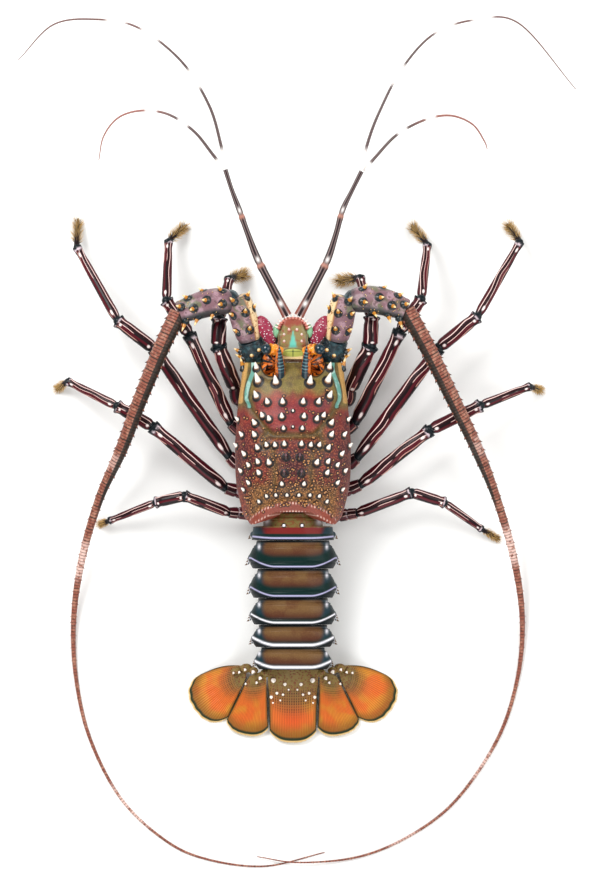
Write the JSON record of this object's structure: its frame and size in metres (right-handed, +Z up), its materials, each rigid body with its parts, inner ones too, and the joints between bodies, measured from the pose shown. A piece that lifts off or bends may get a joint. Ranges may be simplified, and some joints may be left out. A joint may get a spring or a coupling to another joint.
{
  "type": "spiny lobster",
  "caption": "Life-size still model of a spiny lobster, spread flat with its head up, long ringed antennae curved back round the tail.",
  "frame": {"origin": "bottom centre of the whole box, on the floor that the animal rests on", "axes": "+Y towards the head and the antennules, +X to the right seen from above, +Z up out of the back"},
  "size_m": [0.3334, 0.5096, 0.0674],
  "materials": {
    "shell": "hard chitin shell, olive-brown and red, satin with fine granules",
    "belly": "pale tan chitin, satin",
    "plate": "olive chitin with a pale teal mark",
    "eye": "glossy dark cornea",
    "eye_stalk": "orange chitin, satin",
    "antenna_base": "dark blue-black chitin",
    "peduncle": "mauve-brown chitin with gold-tipped spines",
    "feeler": "red-brown ringed chitin with pale bands",
    "antennule": "dark purple-brown chitin with pale bands",
    "leg": "dark wine-red chitin with pink-white stripes and gold bristles",
    "ring": "brown chitin with dark green bands and pale lines",
    "fan": "orange chitin membrane with rays and a dark green rim"
  },
  "bodies": {
    "root": {"carapace": "shell", "sternum": "belly", "epistome": "belly", "antennular_plate": "plate", "eye_stalk_left": "eye_stalk", "eye_left": "eye", "antenna_left_base": "antenna_base", "antenna_left_inner": "peduncle", "antenna_left_outer": "peduncle", "antenna_left_whip_1": "feeler", "antenna_left_whip_2": "feeler", "antenna_left_whip_3": "feeler", "antennule_left_stem": "antennule", "antennule_left_lower": "antennule", "antennule_left_upper": "antennule", "maxilliped_left": "leg", "eye_stalk_right": "eye_stalk", "eye_right": "eye", "antenna_right_base": "antenna_base", "antenna_right_inner": "peduncle", "antenna_right_outer": "peduncle", "antenna_right_whip_1": "feeler", "antenna_right_whip_2": "feeler", "antenna_right_whip_3": "feeler", "antennule_right_stem": "antennule", "antennule_right_lower": "antennule", "antennule_right_upper": "antennule", "maxilliped_right": "leg", "leg_1_left_upper": "leg", "leg_1_left_lower": "leg", "leg_2_left_upper": "leg", "leg_2_left_lower": "leg", "leg_3_left_upper": "leg", "leg_3_left_lower": "leg", "leg_4_left_upper": "leg", "leg_4_left_lower": "leg", "leg_5_left_upper": "leg", "leg_5_left_lower": "leg", "leg_1_right_upper": "leg", "leg_1_right_lower": "leg", "leg_2_right_upper": "leg", "leg_2_right_lower": "leg", "leg_3_right_upper": "leg", "leg_3_right_lower": "leg", "leg_4_right_upper": "leg", "leg_4_right_lower": "leg", "leg_5_right_upper": "leg", "leg_5_right_lower": "leg", "abdomen_1": "ring", "abdomen_2": "ring", "abdomen_3": "ring", "abdomen_4": "ring", "abdomen_5": "ring", "abdomen_6": "ring", "telson": "fan", "uropod_inner_left": "fan", "uropod_outer_left": "fan", "uropod_inner_right": "fan", "uropod_outer_right": "fan"}
  },
  "joints": []
}
